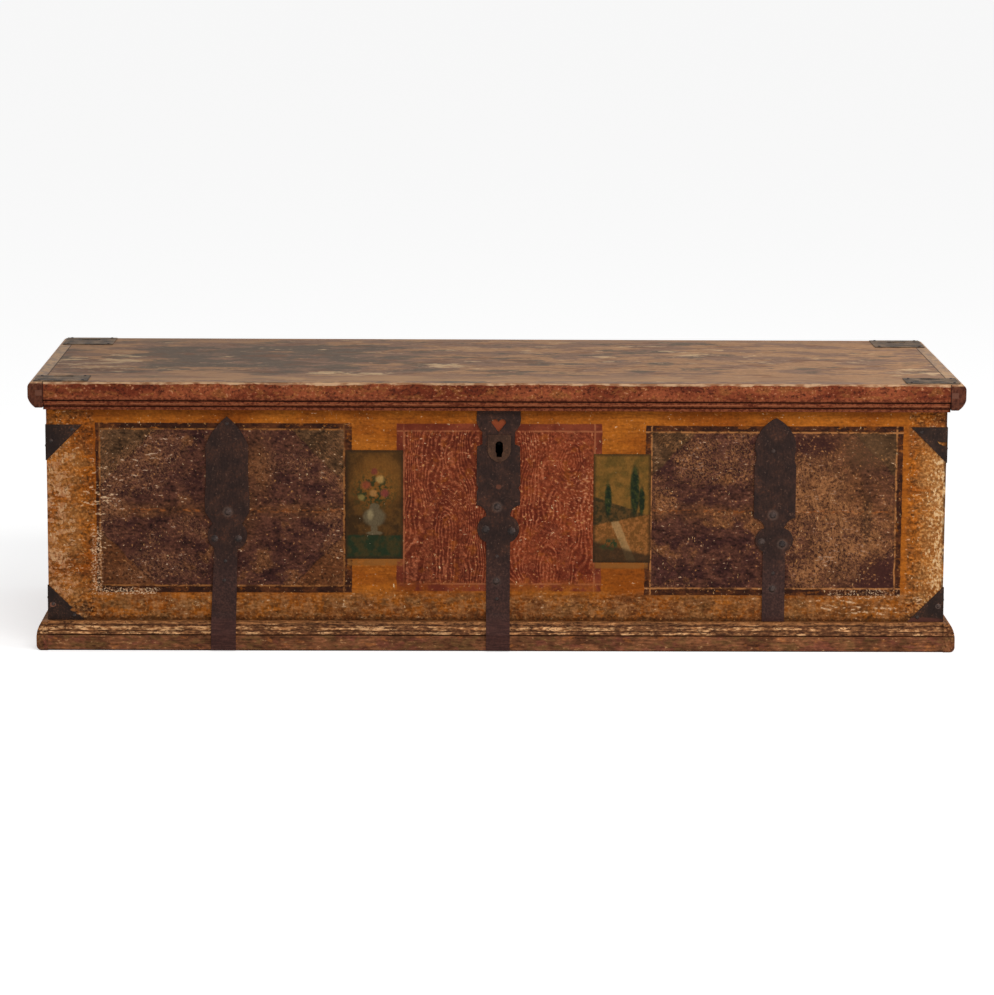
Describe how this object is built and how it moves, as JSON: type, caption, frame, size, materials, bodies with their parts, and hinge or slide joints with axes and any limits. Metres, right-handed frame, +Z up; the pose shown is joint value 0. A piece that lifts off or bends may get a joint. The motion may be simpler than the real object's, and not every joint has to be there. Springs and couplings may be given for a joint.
{
  "type": "board chest",
  "caption": "Long low painted board chest with a strap-hinged moulded lid, wrought-iron bands, an inside lock with a pierced outer plate, sheet-iron corners and a moulded plinth.",
  "frame": {"origin": "centre of the overall footprint, on the floor under the chest", "axes": "+X to the right along the front, -Y out of the front, +Z up"},
  "size_m": [1.606, 0.6112, 0.4731],
  "materials": {
    "painted_board": "old ochre and red oil paint, worn matt",
    "back_wood": "bare pine, aged",
    "bottom_wood": "bare pine, aged",
    "lid_wood": "worn brown paint over bare wood",
    "lid_moulding_wood": "worn red-brown paint",
    "plinth_wood": "worn brown paint",
    "band_iron": "blackened wrought iron, worn",
    "shield_iron": "browned sheet iron",
    "sheet_iron": "blackened sheet iron, slightly rusty",
    "nail_iron": "forged nails, blackened",
    "hinge_iron": "blackened wrought iron",
    "lock_iron": "bare forged iron, oiled",
    "print_paper": "brown varnished paper"
  },
  "bodies": {
    "carcass": {"back_board": "back_wood", "band_centre": "band_iron", "band_left": "band_iron", "band_nails_centre": "nail_iron", "band_nails_left": "nail_iron", "band_nails_right": "nail_iron", "band_right": "band_iron", "bottom_board_1": "bottom_wood", "bottom_board_2": "bottom_wood", "bottom_board_3": "bottom_wood", "bottom_nails": "nail_iron", "corner_nails": "nail_iron", "corner_plate_bottom_left": "sheet_iron", "corner_plate_bottom_right": "sheet_iron", "corner_plate_top_left": "sheet_iron", "corner_plate_top_right": "sheet_iron", "end_board_left": "painted_board", "end_board_right": "painted_board", "front_board": "painted_board", "hinge_leaf_left": "hinge_iron", "hinge_leaf_nails": "nail_iron", "hinge_leaf_right": "hinge_iron", "hinge_pin_left": "hinge_iron", "hinge_pin_right": "hinge_iron", "keyhole_shield": "shield_iron", "lock_bridge": "lock_iron", "lock_drill_pin": "lock_iron", "lock_keeper_left": "lock_iron", "lock_keeper_right": "lock_iron", "lock_nails": "nail_iron", "lock_plate": "lock_iron", "lock_spring": "lock_iron", "plinth_front": "plinth_wood", "plinth_left": "plinth_wood", "plinth_right": "plinth_wood", "print_left": "print_paper", "print_right": "print_paper"},
    "lid": {"hinge_strap_left": "hinge_iron", "hinge_strap_nails": "nail_iron", "hinge_strap_right": "hinge_iron", "lid_iron_back_left": "sheet_iron", "lid_iron_back_right": "sheet_iron", "lid_iron_front_left": "sheet_iron", "lid_iron_front_right": "sheet_iron", "lid_iron_nails": "nail_iron", "lid_moulding_front": "lid_moulding_wood", "lid_moulding_left": "lid_moulding_wood", "lid_moulding_right": "lid_moulding_wood", "lid_plank_1": "lid_wood", "lid_plank_2": "lid_wood", "lid_plank_3": "lid_wood", "lock_staple": "lock_iron", "staple_nails": "nail_iron"},
    "lock_bolt": {"lock_bolt": "lock_iron"}
  },
  "joints": [
    {"name": "lid", "type": "hinge", "parent": "carcass", "child": "lid", "pos_m": [0, 0.29915, 0.4385], "axis": [-1, 0, 0], "range_deg": [0, 105]},
    {"name": "lock_bolt", "type": "slide", "parent": "carcass", "child": "lock_bolt", "axis": [1, 0, 0], "range_m": [0, 0.012]}
  ]
}
